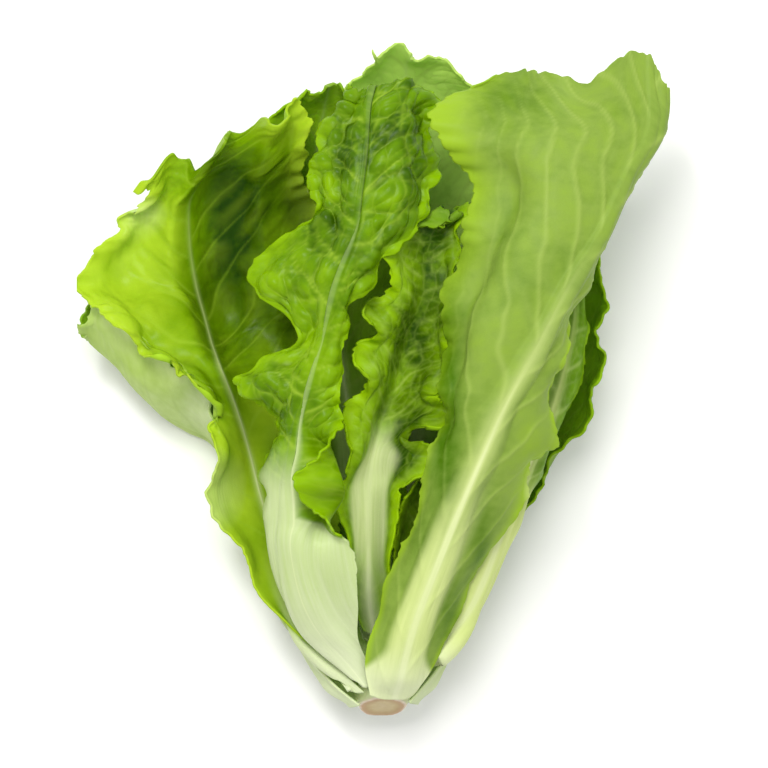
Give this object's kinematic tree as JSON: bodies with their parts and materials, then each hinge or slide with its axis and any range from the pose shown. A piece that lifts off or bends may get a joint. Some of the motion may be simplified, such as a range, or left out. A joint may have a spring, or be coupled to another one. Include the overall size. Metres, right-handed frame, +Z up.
{
  "type": "romaine lettuce heart",
  "caption": "Fanned romaine lettuce heart with a cut stem end, pale ribbed stalks and ruffled green leaves, lying on its side as a salad vegetable.",
  "frame": {"origin": "on the surface that the head lies on, under the middle of its box", "axes": "+Y from the cut stem end to the leaf tips, +Z up from the surface, +X to the right seen from above with the stem towards the viewer"},
  "size_m": [0.208, 0.2366, 0.077],
  "materials": {
    "stem": "cut stem, browned and dry on its cut face, pale green at its sides",
    "pale_leaf": "waxy matte outer side of a leaf, pale green with a lighter rib",
    "heart_leaf": "tender inner leaf, yellow green, satin",
    "green_leaf": "crinkled green leaf with satin gloss"
  },
  "bodies": {
    "root": {"stem_butt": "stem", "front_right_leaf": "pale_leaf", "outer_left_leaf": "pale_leaf", "right_leaf": "pale_leaf", "centre_leaf": "heart_leaf", "inner_right_leaf": "heart_leaf", "crinkled_leaf": "green_leaf", "left_leaf": "green_leaf", "upper_left_leaf": "green_leaf", "back_leaf": "green_leaf", "outer_right_leaf": "green_leaf"}
  },
  "joints": []
}
